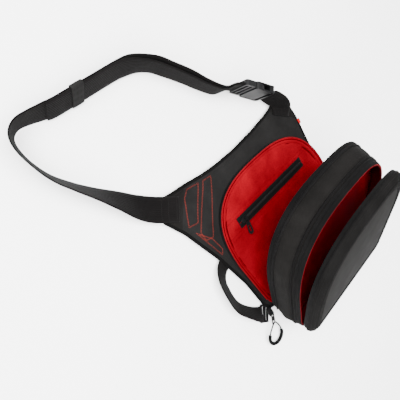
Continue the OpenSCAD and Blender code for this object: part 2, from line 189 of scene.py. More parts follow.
def fabric(name, col, var=0.25, weave=0.8, bump=0.35, rough=0.82, sheen=0.01, uv=False, ribs=None, wear=0.5, spec=0.008, crease=0.5):
    """Woven cloth: two crossed yarn waves, fine fuzz, soft creases, colour variation and paler worn edges. weave is the yarn pitch in mm."""
    mt, t, b = nt(name)
    L = t.links
    tc = add(t, "ShaderNodeTexCoord")
    if uv:
        um = add(t, "ShaderNodeUVMap", uv_map="weave")
        co = um.outputs[0]
    else:
        co = tc.outputs["Object"]
    sc = 2 * math.pi / (20 * weave * MM)
    w1 = add(t, "ShaderNodeTexWave", wave_type="BANDS", bands_direction="X")
    w2 = add(t, "ShaderNodeTexWave", wave_type="BANDS", bands_direction="Y")
    for w, k in ((w1, 1.0), (w2, 1.15)):
        w.inputs["Scale"].default_value = sc * k
        w.inputs["Distortion"].default_value = 0.4
        w.inputs["Detail"].default_value = 1.0
        L.new(co, w.inputs["Vector"])
    yarn = mathn(t, "MAXIMUM", w1.outputs["Fac"], w2.outputs["Fac"])
    big = add(t, "ShaderNodeTexNoise", in_Scale=26.0, in_Detail=4.0, in_Roughness=0.6)
    fuzz = add(t, "ShaderNodeTexNoise", in_Scale=1500.0, in_Detail=2.0)
    fold = add(t, "ShaderNodeTexNoise", in_Scale=60.0, in_Detail=3.0, in_Distortion=0.6)
    for n in (big, fuzz, fold):
        L.new(tc.outputs["Object"], n.inputs["Vector"])
    c = np.array(col, float)
    cr = ramp(t, big.outputs["Fac"], [(0.3, tuple(c * (1 - var))), (0.7, tuple(np.minimum(c * (1 + var), 1)))])
    mix = add(t, "ShaderNodeMix", data_type="RGBA", blend_type="MULTIPLY")
    mix.inputs["Factor"].default_value = 0.55
    yr = ramp(t, yarn, [(0.2, (0.45, 0.45, 0.45)), (0.9, (1.15, 1.15, 1.15))])
    L.new(cr.outputs[0], mix.inputs["A"])
    L.new(yr.outputs[0], mix.inputs["B"])
    outc = mix.outputs["Result"]
    if wear:
        g = add(t, "ShaderNodeNewGeometry")
        pr = ramp(t, g.outputs["Pointiness"], [(0.5, (0, 0, 0)), (0.62, (1, 1, 1))])
        wf = mathn(t, "MULTIPLY", pr.outputs[0], wear * 0.5)
        m2 = add(t, "ShaderNodeMix", data_type="RGBA", blend_type="MIX")
        L.new(wf, m2.inputs["Factor"])
        L.new(outc, m2.inputs["A"])
        m2.inputs["B"].default_value = (*np.minimum(c * 1.8 + 0.004, 1), 1)
        outc = m2.outputs["Result"]
    L.new(outc, b.inputs["Base Color"])
    rr = add(t, "ShaderNodeMapRange")
    rr.inputs["To Min"].default_value = rough - 0.1
    rr.inputs["To Max"].default_value = min(rough + 0.12, 1)
    L.new(big.outputs["Fac"], rr.inputs["Value"])
    L.new(rr.outputs[0], b.inputs["Roughness"])
    h = mathn(t, "MULTIPLY", yarn, 1.0)
    h = mathn(t, "MULTIPLY_ADD", fuzz.outputs["Fac"], 0.35, h)
    if ribs:
        w3 = add(t, "ShaderNodeTexWave", wave_type="BANDS", bands_direction=ribs[0])
        w3.inputs["Scale"].default_value = 2 * math.pi / (20 * ribs[1] * MM)
        L.new(co, w3.inputs["Vector"])
        h = mathn(t, "MULTIPLY_ADD", w3.outputs["Fac"], 1.6, h)
    b1 = add(t, "ShaderNodeBump")
    b1.inputs["Strength"].default_value = bump
    b1.inputs["Distance"].default_value = 0.00022
    L.new(h, b1.inputs["Height"])
    b2 = add(t, "ShaderNodeBump")
    b2.inputs["Strength"].default_value = crease * 0.35
    b2.inputs["Distance"].default_value = 0.0016
    L.new(fold.outputs["Fac"], b2.inputs["Height"])
    L.new(b1.outputs[0], b2.inputs["Normal"])
    L.new(b2.outputs[0], b.inputs["Normal"])
    b.inputs["Specular IOR Level"].default_value = spec
    b.inputs["Sheen Weight"].default_value = sheen
    b.inputs["Sheen Roughness"].default_value = 0.5
    return mt


def plastic(name, col, rough=0.4, grain=900.0, bump=0.12, wear=0.4, coat=0.0, metallic=0.0, spec=0.06):
    """Moulded plastic or lacquered metal: fine grain, slow roughness variation, rubbed edges."""
    mt, t, b = nt(name)
    L = t.links
    tc = add(t, "ShaderNodeTexCoord")
    n1 = add(t, "ShaderNodeTexNoise", in_Scale=grain, in_Detail=3.0)
    n2 = add(t, "ShaderNodeTexNoise", in_Scale=45.0, in_Detail=4.0)
    for n in (n1, n2):
        L.new(tc.outputs["Object"], n.inputs["Vector"])
    c = np.array(col, float)
    cr = ramp(t, n2.outputs["Fac"], [(0.3, tuple(c * 0.8)), (0.7, tuple(np.minimum(c * 1.2, 1)))])
    g = add(t, "ShaderNodeNewGeometry")
    pr = ramp(t, g.outputs["Pointiness"], [(0.52, (0, 0, 0)), (0.66, (1, 1, 1))])
    wf = mathn(t, "MULTIPLY", pr.outputs[0], wear)
    m2 = add(t, "ShaderNodeMix", data_type="RGBA", blend_type="MIX")
    L.new(wf, m2.inputs["Factor"])
    L.new(cr.outputs[0], m2.inputs["A"])
    m2.inputs["B"].default_value = (*np.minimum(c * 2.2 + 0.008, 1), 1)
    L.new(m2.outputs["Result"], b.inputs["Base Color"])
    rr = add(t, "ShaderNodeMapRange")
    rr.inputs["To Min"].default_value = max(rough - 0.1, 0.05)
    rr.inputs["To Max"].default_value = rough + 0.12
    L.new(n2.outputs["Fac"], rr.inputs["Value"])
    L.new(rr.outputs[0], b.inputs["Roughness"])
    b1 = add(t, "ShaderNodeBump")
    b1.inputs["Strength"].default_value = bump
    b1.inputs["Distance"].default_value = 0.0002
    L.new(n1.outputs["Fac"], b1.inputs["Height"])
    L.new(b1.outputs[0], b.inputs["Normal"])
    b.inputs["Metallic"].default_value = metallic
    b.inputs["Coat Weight"].default_value = coat
    b.inputs["Specular IOR Level"].default_value = spec
    return mt


M_FAB = fabric("charcoal_fabric", (0.0046, 0.0043, 0.0041), weave=0.9, bump=0.5)
# painted light: a lighter copy of the charcoal fabric for the wings, whose upward-facing top is brighter under the
# light from above
M_WING_LIT = fabric("wing_fabric_painted_light", (0.0066, 0.0064, 0.0063), weave=0.9, bump=0.5)
M_DARK = fabric("binding_fabric", (0.0022, 0.0021, 0.0021), weave=0.8, bump=0.5, ribs=("X", 1.6))
M_TAPE = fabric("zip_tape_fabric", (0.0026, 0.0025, 0.0025), weave=0.5, bump=0.4, ribs=("Z", 0.9))
M_RED = fabric("red_lining", (0.118, 0.0006, 0.0036), var=0.26, weave=0.6, bump=0.3, rough=0.7, sheen=0.0, wear=0.12, spec=0.01, crease=1.6)
# painted shade: the red lining fabric at half brightness, a shaded copy of the lining for recesses and seam lines
M_RED_SHADED = fabric("red_lining_painted_shade", (0.056, 0.0004, 0.0018), var=0.26, weave=0.6, bump=0.3, rough=0.7, sheen=0.0, wear=0.1, spec=0.01, crease=1.6)
# painted shade: a very dark red for thin tubes laid along the rim's creases, standing in for the shade there
M_SHADE_LINE = fabric("painted_shade_red_line", (0.016, 0.0004, 0.0010), weave=0.6, bump=0.3, rough=0.8, sheen=0.0, wear=0, spec=0.01)
M_MESH = fabric("spacer_mesh", (0.0040, 0.0040, 0.0042), weave=2.6, bump=1.0, rough=0.9, wear=0.2)
M_WEB = fabric("webbing_weave", (0.0030, 0.0027, 0.0027), weave=1.5, bump=0.9, uv=True, ribs=("Y", 3.1), rough=0.72, sheen=0.02, wear=0.35)
M_ELAS = fabric("elastic_weave", (0.0085, 0.0083, 0.0082), weave=1.1, bump=0.9, uv=True, ribs=("X", 1.4), rough=0.75)
M_THR = fabric("red_thread", (0.12, 0.014, 0.010), weave=0.5, bump=0.5, rough=0.6, wear=0, crease=0)
M_THD = fabric("dark_thread", (0.0075, 0.0072, 0.0070), weave=0.5, bump=0.5, rough=0.6, wear=0, crease=0)
M_TAB = fabric("red_woven_tab", (0.28, 0.003, 0.005), weave=0.5, bump=0.5, rough=0.6, wear=0.2)
M_COIL = fabric("red_coil", (0.12, 0.002, 0.004), weave=0.5, bump=0.2, rough=0.45, wear=0.3, spec=0.05, crease=0)
M_COILB = plastic("black_coil", (0.006, 0.006, 0.006), rough=0.4)
M_MOULD = fabric("moulded_shell_fabric", (0.0044, 0.0042, 0.0041), weave=0.7, bump=0.35, rough=0.72, sheen=0.0, spec=0.006, crease=0.3)
M_FILM = plastic("glossy_film", (0.0076, 0.0073, 0.0071), rough=0.5, grain=500, bump=0.05, wear=0.1, coat=0.0, spec=0.0012)
M_BUCK = plastic("buckle_plastic", (0.0030, 0.0030, 0.0032), rough=0.42, wear=0.3)
M_ZIPM = plastic("black_zip_metal", (0.0035, 0.0035, 0.0037), rough=0.42, grain=300, bump=0.06, wear=0.2, metallic=0.1)
M_GRIP = plastic("rubber_grip", (0.0022, 0.0022, 0.0023), rough=0.62, grain=700, bump=0.3, wear=0.1, spec=0.03)
M_CORD = fabric("braided_cord", (0.0018, 0.0018, 0.0019), weave=1.0, bump=1.0, rough=0.7, wear=0)


# ------------------------------------------------------------------ mesh helpers
MADE = {}


def make(name, V, faces, mat, body, repl=(), smooth=True, uv=None, normals=True):
    me = bpy.data.meshes.new(name)
    me.from_pydata((np.asarray(V, float) * MM).tolist(), [], faces)
    if uv is not None:
        lay = me.uv_layers.new(name="weave")
        idx = np.zeros(len(me.loops), np.int32)
        me.loops.foreach_get("vertex_index", idx)
        lay.data.foreach_set("uv", (np.asarray(uv, float)[idx] * MM).astype(np.float32).ravel())
    if normals:
        bm = bmesh.new()
        bm.from_mesh(me)
        bmesh.ops.recalc_face_normals(bm, faces=bm.faces)
        bm.to_mesh(me)
        bm.free()
    if smooth:
        me.polygons.foreach_set("use_smooth", [True] * len(me.polygons))
    me.materials.append(mat)
    ob = bpy.data.objects.new(name, me)
    bpy.context.scene.collection.objects.link(ob)
    if body:
        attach(ob, body)
    if repl:
        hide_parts(*repl)
    MADE[name] = ob
    return ob


def grid_faces(m, n, wrap_n=True, wrap_m=False, base=0):
    """faces of m rings of n points"""
    out = []
    for j in range(m if wrap_m else m - 1):
        for i in range(n if wrap_n else n - 1):
            a, b = base + j * n + i, base + j * n + (i + 1) % n
            c, e = base + ((j + 1) % m) * n + (i + 1) % n, base + ((j + 1) % m) * n + i
            out.append((a, b, c, e))
    return out


def nz(p, s, seed=0.0):
    return noise.noise(Vector((p[0] * s + seed, p[1] * s - seed, p[2] * s + 2 * seed)))


def wrinkle(P, amp, scale, seed):
    return np.array([amp * (nz(p, scale, seed) + 0.5 * nz(p, scale * 2.3, seed + 3)) for p in P])


def loft(name, ringf, prof, mat, body, place, repl=(), closed=True, u_only=False, amp=0.0, scale=0.03, seed=1.0, fill=None, amps=None, sag=None):
    """Skin through ringf(z, d) for the (z, d) pairs of prof. amp moves the wall in and out."""
    rings = []
    for j, (z, d) in enumerate(prof):
        P = ringf(z, d)
        a = amps[j] if amps else amp
        if a:
            Pa, Pb = ringf(z, d - 1.0), P
            n = Pa - Pb
            n /= np.maximum(np.linalg.norm(n, axis=1), 1e-9)[:, None]
            P = P + n * wrinkle(P, a, scale, seed)[:, None]
        if u_only:
            P = P[: NU + 1]
        if sag:
            P = sag(P, z, d)
        rings.append(P)
    n = len(rings[0])
    V = np.concatenate(rings)
    faces = grid_faces(len(rings), n, wrap_n=not u_only, wrap_m=closed)
    if u_only and closed:
        faces.append(tuple(j * n for j in range(len(rings))))
        faces.append(tuple(j * n + n - 1 for j in range(len(rings))))
    if fill is not None:           # close the last ring towards its middle: fill = (steps, function of x, y, s giving z)
        steps, fz = fill
        last = rings[-1]
        c = np.array([0.0, (last[:, 1].max() + last[:, 1].min()) / 2, 0])
        base = len(V)
        allr = [last]
        for k in range(1, steps):
            s = 1 - k / steps
            Q = c + (last - c) * s
            Q[:, 2] = [fz(x, y, s) for x, y in Q[:, :2]]
            allr.append(Q)
        V = np.concatenate([V] + allr[1:] + [np.array([[c[0], c[1], fz(c[0], c[1], 0)]])])
        b0 = base - n
        for k in range(steps - 1):
            for i in range(n):
                a, b = b0 + k * n + i, b0 + k * n + (i + 1) % n
                faces.append((a, b, b + n, a + n))
        tip = len(V) - 1
        for i in range(n):
            faces.append((b0 + (steps - 1) * n + i, b0 + (steps - 1) * n + (i + 1) % n, tip))
    return make(name, place(V), faces, mat, body, repl)


def resample(P, step):
    P = np.asarray(P, float)
    s = np.concatenate([[0], np.cumsum(np.linalg.norm(np.diff(P, axis=0), axis=1))])
    n = max(int(round(s[-1] / step)), 1)
    t = np.linspace(0, s[-1], n + 1)
    return np.column_stack([np.interp(t, s, P[:, i]) for i in range(3)])


def stitches(name, paths, mat, body, pitch=3.4, ln=2.4, r=0.34, up=None, place=base_w, repl=()):
    """Rows of sewing thread: one small capsule a stitch."""
    V, Fc = [], []
    for path in paths:
        P = resample(path, pitch)
        for a, b in zip(P[:-1], P[1:]):
            t = b - a
            L = np.linalg.norm(t)
            if L < 1e-6:
                continue
            t /= L
            c = (a + b) / 2
            u = np.cross(t, [0, 0, 1.0])
            if np.linalg.norm(u) < 0.1:
                u = np.cross(t, [0, 1.0, 0])
            u /= np.linalg.norm(u)
            w = np.cross(u, t)
            i0 = len(V)
            h = min(ln, L * 0.8) / 2
            V.append(c - t * h)
            for s, q in ((-0.62, 0.8), (0.0, 1.0), (0.62, 0.8)):
                for k in range(6):
                    g = math.radians(60 * k)
                    V.append(c + t * h * s + r * q * (math.cos(g) * u + math.sin(g) * w * 0.8))
            V.append(c + t * h)
            for k in range(6):
                Fc.append((i0, i0 + 1 + k, i0 + 1 + (k + 1) % 6))
                for j in range(2):
                    a0 = i0 + 1 + j * 6
                    Fc.append((a0 + k, a0 + 6 + k, a0 + 6 + (k + 1) % 6, a0 + (k + 1) % 6))
                Fc.append((i0 + 13 + k, i0 + 19, i0 + 13 + (k + 1) % 6))
    return make(name, place(np.array(V)), Fc, mat, body, repl)


def teeth(name, P, N, Z, mat, body, place, repl=(), pitch=1.75, size=(1.05, 1.5, 1.15)):
    """Coil teeth: a rounded block at each pitch along P; N is outward, Z across the mating plane."""
    s = np.concatenate([[0], np.cumsum(np.linalg.norm(np.diff(P, axis=0), axis=1))])
    n = int(s[-1] / pitch)
    t = (np.arange(n) + 0.5) * s[-1] / n
    Q = np.column_stack([np.interp(t, s, P[:, i]) for i in range(3)])
    NN = np.column_stack([np.interp(t, s, N[:, i]) for i in range(3)])
    V, Fc = [], []
    box = [(x, y, z) for z in (-1, 1) for y in (-1, 1) for x in (-1, 1)]
    prof = []
    for k in range(8):
        g = math.radians(22.5 + 45 * k)
        prof.append((math.cos(g), math.sin(g)))
    for k, (q, nn) in enumerate(zip(Q, NN)):
        nn = nn / np.linalg.norm(nn)
        tt = np.cross(Z, nn)
        i0 = len(V)
        for e, sc in ((-1, 0.7), (-0.6, 1.0), (0.6, 1.0), (1, 0.7)):
            for cx, cz in prof:
                V.append(q + tt * size[0] / 2 * cx * sc + nn * size[1] / 2 * e + Z * size[2] / 2 * cz * sc)
        for j in range(3):
            for i in range(8):
                a = i0 + j * 8 + i
                b = i0 + j * 8 + (i + 1) % 8
                Fc.append((a, b, b + 8, a + 8))
        Fc.append(tuple(i0 + i for i in range(8)))
        Fc.append(tuple(i0 + 24 + i for i in range(8)))
    return make(name, place(np.array(V)), Fc, mat, body, repl)


def outward(ringf, z, d):
    a, b = ringf(z, d - 1), ringf(z, d)
    n = a - b
    return n / np.linalg.norm(n, axis=1)[:, None]


def spline(st, m):
    st = [np.array(s, float) for s in st]
    out = []
    for i in range(len(st) - 1):
        a, b, c, e = st[max(i - 1, 0)], st[i], st[i + 1], st[min(i + 2, len(st) - 1)]
        for j in range(m):
            f = j / m
            out.append(0.5 * (2 * b + (c - a) * f + (2 * a - 5 * b + 4 * c - e) * f * f + (3 * b - a - 3 * c + e) * f ** 3))
    out.append(st[-1])
    return np.array(out)


def across(s):
    h, t = math.radians(s[3]), math.radians(s[4])
    return np.array([math.cos(t) * math.cos(h), math.cos(t) * math.sin(h), math.sin(t)])


def facing(s):
    h, t = math.radians(s[3]), math.radians(s[4])
    return np.array([-math.sin(t) * math.cos(h), -math.sin(t) * math.sin(h), math.cos(t)])


def ribbon(name, route, w, th, mat, body, off=0.0, m=8, repl=(), wave=0.25, cross=11, ends=True):
    """Webbing: thin rounded selvedges, a slightly thicker middle and a little waviness."""
    S = spline(route, m)
    prof = []
    for k in range(cross):
        x = k / (cross - 1)
        e = min(x, 1 - x) * w
        hgt = th / 2 * (0.55 + 0.45 * min(e / 1.6, 1) ** 0.5)
        prof.append((x * w, hgt))
    pts = [(x, -h) for x, h in prof] + [(x, h) for x, h in reversed(prof)]
    V, uv = [], []
    s = 0.0
    last = None
    for i, st in enumerate(S):
        b = st[:3] + off * facing(st)
        if last is not None:
            s += np.linalg.norm(b - last)
        last = b
        a, n = across(st), facing(st)
        for x, h in pts:
            q = b + a * x + n * h
            k = wave * (noise.noise(Vector((s * 0.02, x * 0.03, 3.1))) + 0.5 * noise.noise(Vector((s * 0.06, x * 0.05, 7.7))))
            q = q + n * k
            V.append(q)
            uv.append((s, x))
    nn = len(pts)
    faces = grid_faces(len(S), nn, wrap_n=True)
    faces.append(tuple(range(nn)))
    faces.append(tuple((len(S) - 1) * nn + i for i in range(nn)))
    return make(name, V, faces, mat, body, repl, uv=uv), S


def inset(p, d):
    p = np.asarray(p, float)
    n = len(p)
    area = sum(p[i][0] * p[(i + 1) % n][1] - p[(i + 1) % n][0] * p[i][1] for i in range(n))
    w = 1 if area > 0 else -1
    out = []
    for i in range(n):
        e0, e1 = p[i] - p[i - 1], p[(i + 1) % n] - p[i]
        e0, e1 = e0 / np.linalg.norm(e0), e1 / np.linalg.norm(e1)
        n0, n1 = w * np.array([-e0[1], e0[0]]), w * np.array([-e1[1], e1[0]])
        out.append(p[i] + d * (n0 + n1) / (1 + n0 @ n1))
    return np.array(out)


def smooth_loop(p, step=3.0, r=5.0):
    """closed polygon, evenly sampled and slightly rounded"""
    p = np.asarray(p, float)
    q = np.concatenate([p, p[:1]])
    s = np.concatenate([[0], np.cumsum(np.linalg.norm(np.diff(q, axis=0), axis=1))])
    n = int(s[-1] / step)
    t = np.arange(n) * s[-1] / n
    P = np.column_stack([np.interp(t, s, q[:, i]) for i in range(2)])
    k = max(int(r / step), 1)
    for _ in range(k):
        P = (np.roll(P, 1, 0) + 2 * P + np.roll(P, -1, 0)) / 4
    return P


def tube(name, P, r, mat, body, closed=True, k=8, repl=(), flat=1.0):
    P = np.asarray(P, float)
    n = len(P)
    V = []
    for i in range(n):
        a, b = (P[i - 1], P[(i + 1) % n]) if closed else (P[max(i - 1, 0)], P[min(i + 1, n - 1)])
        t = b - a
        t /= np.linalg.norm(t)
        u = np.cross(t, [0, 0, 1.0])
        u /= np.linalg.norm(u)
        w = np.cross(u, t)
        for j in range(k):
            g = 2 * math.pi * j / k
            V.append(P[i] + r * (math.cos(g) * u + flat * math.sin(g) * w))
    faces = grid_faces(n, k, wrap_n=True, wrap_m=closed)
    if not closed:
        faces.append(tuple(range(k)))
        faces.append(tuple((n - 1) * k + j for j in range(k)))
    return make(name, V, faces, mat, body, repl)


def signed_inside(P, poly):
    """distance of each point to the polygon's edge, positive inside"""
    P = np.asarray(P, float)
    poly = np.asarray(poly, float)
    a, b = poly, np.roll(poly, -1, 0)
    best = np.full(len(P), 1e9)
    inside = np.zeros(len(P), bool)
    for p0, p1 in zip(a, b):
        d = p1 - p0
        t = np.clip(((P - p0) @ d) / (d @ d), 0, 1)
        q = p0 + t[:, None] * d
        best = np.minimum(best, np.linalg.norm(P - q, axis=1))
        c = (p0[1] > P[:, 1]) != (p1[1] > P[:, 1])
        with np.errstate(divide="ignore", invalid="ignore"):
            x = (p1[0] - p0[0]) * (P[:, 1] - p0[1]) / (p1[1] - p0[1]) + p0[0]
        inside ^= c & (P[:, 0] < x)
    return np.where(inside, best, -best)


def slab(name, poly, z0, z1, mat, body, voxel=3.5, sub=False, **kw):
    """closed flat solid, remeshed into even quads; returns the object, ready for shaping"""
    n = len(poly)
    V = [(x, y, z0) for x, y in poly] + [(x, y, z1) for x, y in poly]
    faces = [tuple(range(n)), tuple(range(n, 2 * n))] + [(i, (i + 1) % n, n + (i + 1) % n, n + i) for i in range(n)]
    ob = make(name, V, faces, mat, None, smooth=True)
    md = ob.modifiers.new("r", "REMESH")
    md.mode = "VOXEL"
    md.voxel_size = voxel * MM
    dg = bpy.context.evaluated_depsgraph_get()
    me = bpy.data.meshes.new_from_object(ob.evaluated_get(dg))
    ob.modifiers.clear()
    ob.data = me
    if not len(me.materials):
        me.materials.append(mat)
    me.polygons.foreach_set("use_smooth", [True] * len(me.polygons))
    return ob


def coords(ob):
    co = np.zeros(len(ob.data.vertices) * 3, np.float32)
    ob.data.vertices.foreach_get("co", co)
    return co.reshape(-1, 3).astype(float) / MM


def set_coords(ob, P):
    ob.data.vertices.foreach_set("co", (P * MM).astype(np.float32).ravel())
    ob.data.update()


def inflate(ob, pressure, cap, frames=20, hold=None, quality=5):
    """swells the closed mesh as padded cloth; no point moves further than cap mm, and hold(P) gives the share it may move"""
    rest = coords(ob)
    sc = bpy.context.scene
    md = ob.modifiers.new("cloth", "CLOTH")
    st = md.settings
    st.quality = quality
    st.mass = 0.2
    st.tension_stiffness = st.compression_stiffness = 12
    st.shear_stiffness = 6
    st.bending_stiffness = 0.4
    st.use_pressure = True
    st.uniform_pressure_force = pressure
    st.effector_weights.gravity = 0
    md.collision_settings.use_collision = False
    md.collision_settings.use_self_collision = False
    md.point_cache.frame_start, md.point_cache.frame_end = 1, frames
    for f in range(1, frames + 1):
        sc.frame_set(f)
    dg = bpy.context.evaluated_depsgraph_get()
    e = ob.evaluated_get(dg)
    co = np.zeros(len(e.data.vertices) * 3, np.float32)
    e.data.vertices.foreach_get("co", co)
    P = co.reshape(-1, 3).astype(float) / MM
    ob.modifiers.clear()
    sc.frame_set(1)
    D = P - rest
    D[~np.isfinite(D)] = 0
    L = np.linalg.norm(D, axis=1)
    D *= np.minimum(1, cap / np.maximum(L, 1e-9))[:, None]
    if hold is not None:
        D *= hold(rest)[:, None]
    P = rest + D
    set_coords(ob, P)
    return P


def bvh(*obs):
    from mathutils.bvhtree import BVHTree
    V, Fc = [], []
    for o in obs:
        b = len(V)
        V += [tuple(v) for v in coords(o)]
        Fc += [tuple(b + i for i in p.vertices) for p in o.data.polygons]
    return BVHTree.FromPolygons(V, Fc)


def drop(P, tree, lift=0.1):
    """the points moved along Z onto the surface below them"""
    out = []
    for p in np.asarray(P, float):
        hit = tree.ray_cast(Vector((p[0], p[1], 60)), Vector((0, 0, -1)))
        out.append((p[0], p[1], (hit[0].z if hit[0] is not None else p[2]) + lift))
    return np.array(out)


def cad(name, mat, bevel=0.0, seg=2, slot=None):
    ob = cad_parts[name]
    if not isinstance(ob, bpy.types.Object):
        ob = bpy.data.objects[name]
    if len(ob.material_slots):
        for s in ob.material_slots:
            s.material = mat
    else:
        ob.data.materials.append(mat)
    if bevel:
        md = ob.modifiers.new("edge", "BEVEL")
        md.width, md.segments, md.limit_method, md.angle_limit = bevel * MM, seg, "ANGLE", math.radians(35)
        md.harden_normals = False
    return ob


# ------------------------------------------------------------------ zip pull cords
def turn(P, axis, deg):
    a = math.radians(deg)
    c, s = math.cos(a), math.sin(a)
    M = {"x": [[1, 0, 0], [0, c, -s], [0, s, c]], "z": [[c, -s, 0], [s, c, 0], [0, 0, 1]]}[axis]
    return np.asarray(P, float) @ np.array(M).T


def arc_pt(a):
    return [15 * math.cos(math.radians(a)), -45 + 15 * math.sin(math.radians(a)), 0]


CORD = [arc_pt(150), [-11, -32, 0.3], [-8.2, -27, 1], [-5, -21.8, 1.5], [0, -17.4, 1.9], [5, -21.8, 1.5], [9, -28.4, 1], [13, -36, 0.3], arc_pt(5)]


def main_pull_w(P):
    return turn(turn(P, "z", -16), "x", 12.2) + np.array([-133.5, -104.5, 15.7])


def front_pull_w(P):
    Q = np.array(P, float)
    Q[..., 0] *= -1
    fb = np.array([half_w_low - t_right * 0.6 + 6.6, 3.5, 51.7])
    return lid_w(turn(Q, "z", 8) + fb)


def cord_curve(name, place, body, node):
    P = place(spline([p + [0.0] for p in CORD], 8)[:, :3]) * MM
    cu = bpy.data.curves.new(name, "CURVE")
    cu.dimensions = "3D"
    sp = cu.splines.new("POLY")
    sp.points.add(len(P) - 1)
    for q, p in zip(sp.points, P):
        q.co = (*p, 1)
    cu.bevel_depth = cord_d / 2 * MM
    cu.bevel_resolution = 4
    cu.use_fill_caps = True
    cu.materials.append(M_CORD)
    ob = bpy.data.objects.new(name, cu)
    bpy.context.scene.collection.objects.link(ob)
    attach(ob, body)
    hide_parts(node)
    return ob


cord_curve("main_pull_braid", main_pull_w, "main_pull", "main_pull_cord")
cord_curve("front_pull_braid", front_pull_w, "front_pull", "front_pull_cord")

# ------------------------------------------------------------------ panel, wings and padding
panel_pts = [[-174, 165], [-155, 162], [-134, 160], [-100, 154], [-64, 151], [-20, 151], [28, 155],
    [73, 161], [97, 167], [131, 144], [134, 120], [133, 99], [131, 67], [133, 20], [133, -40], [131, -92],
    [126, -103], [112, -107], [0, -107], [-112, -107], [-126, -103], [-133, -92], [-139, -34], [-154, 29],
    [-178, 101], [-196, 137]]
edge = smooth_loop(inset(panel_pts, 0.6), 3.0, 4.0)
outline = pouch(0) + np.array([0, hinge_y])
wp = slab("wing_padding", edge, 1.0, 6.3, M_WING_LIT, None, voxel=4.0)
rest0 = coords(wp)
di = signed_inside(rest0[:, :2], edge)
dp = signed_inside(rest0[:, :2], outline[::6])
P = inflate(wp, 4.0, 3.2)
Dz = P[:, 2] - rest0[:, 2]
top = np.clip((rest0[:, 2] - 3.0) / 2.5, 0, 1)
sewn = 1 - 0.95 * np.exp(-(np.clip(np.hypot(rest0[:, 0] + 164, rest0[:, 1] - 140) - 26, 0, None) / 14) ** 2)
sewn *= 1 - 0.95 * np.exp(-(np.clip(np.hypot(rest0[:, 0] - 112, rest0[:, 1] - 146) - 22, 0, None) / 12) ** 2)
wing = np.where(dp > 0, 0.0, np.clip(-dp / 16, 0.12, 1)) * np.clip(di / 10, 0.05, 1) * sewn
puff = (1.2 + np.clip(Dz, 0, 3.2) * 0.6) * wing * top
wr = np.array([0.9 * nz(p, 0.028, 4.0) + 0.35 * nz(p, 0.07, 9.0) for p in rest0]) * wing * top
low = 4.4 + (rest0[:, 2] - 1.0) * 1.9 / 5.3
shift = (P - rest0) * np.array([1, 1, 0]) * 0.3
Q = rest0 + shift
Q[:, 2] = low + puff + wr
set_coords(wp, Q)
sb = wp.modifiers.new("s", "SUBSURF")
sb.levels = sb.render_levels = 1
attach(wp, "root")
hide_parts("wing_panel")
WT = bvh(wp)

bind = []
for k, (x, y) in enumerate(smooth_loop(inset(panel_pts, 2.0), 3.0, 4.0)):
    bind.append((x, y, 5.5 + 0.25 * noise.noise(Vector((x * 0.05, y * 0.05, 2)))))
tube("binding", bind, 2.9, M_DARK, "root", repl=("edge_binding",), flat=0.66, k=12)
e2 = [drop([(x, y, 6) for x, y in smooth_loop(inset(panel_pts, d), 2.0, 4.0)], WT, 0.22) for d in (6.4, 9.4)]
e2 = [np.array([q for q in e if signed_inside([q[:2]], outline[::6])[0] < -1.5]) for e in e2]


def pieces_of(P, gap=6.0):
    out, cur = [], [P[0]]
    for a, b in zip(P[:-1], P[1:]):
        if np.linalg.norm(b - a) > gap:
            out.append(np.array(cur))
            cur = []
        cur.append(b)
    out.append(np.array(cur))
    return [o for o in out if len(o) > 2]


stitches("panel_edge_stitching", [s for e in e2 for s in pieces_of(e)], M_THD, "root", pitch=3.2, ln=2.5, r=0.3)

for nm, poly, z1 in (("left_tab_fabric", [[-135, 157.5], [-153.5, 159.3], [-172.5, 162], [-192.8, 136.6], [-178.6, 107]], "left_wing_tab"),
                     ("right_tab_fabric", [[82, 160], [97.3, 164.4], [128.9, 143], [131, 118]], "right_wing_tab")):
    lp = smooth_loop(poly, 1.5, 2.0)
    n = len(lp)
    c = lp.mean(axis=0)
    V, Fc = [], []
    for s in (1.0, 0.985, 0.95, 0.85, 0.7, 0.5, 0.25):
        r_ = drop([(*(c + (q - c) * s), 6) for q in lp], WT, {1.0: 0.05, 0.985: 0.7, 0.95: 0.95}.get(s, 1.0))
        V += list(r_)
    V.append(drop([(*c, 6)], WT, 1.0)[0])
    Fc = grid_faces(7, n) + [(6 * n + i, 6 * n + (i + 1) % n, 7 * n) for i in range(n)]
    Fc.append(tuple(range(n)))
    make(nm, V, Fc, M_FAB, "root", (z1,))
    ins = [q for q in smooth_loop(inset(poly, 3.0), 1.5, 2.0)]
    stitches(nm + "_stitching", [drop([(*q, 6) for q in ins + [ins[0]]], WT, 1.15)], M_THD, "root", pitch=2.8, ln=2.2, r=0.3)

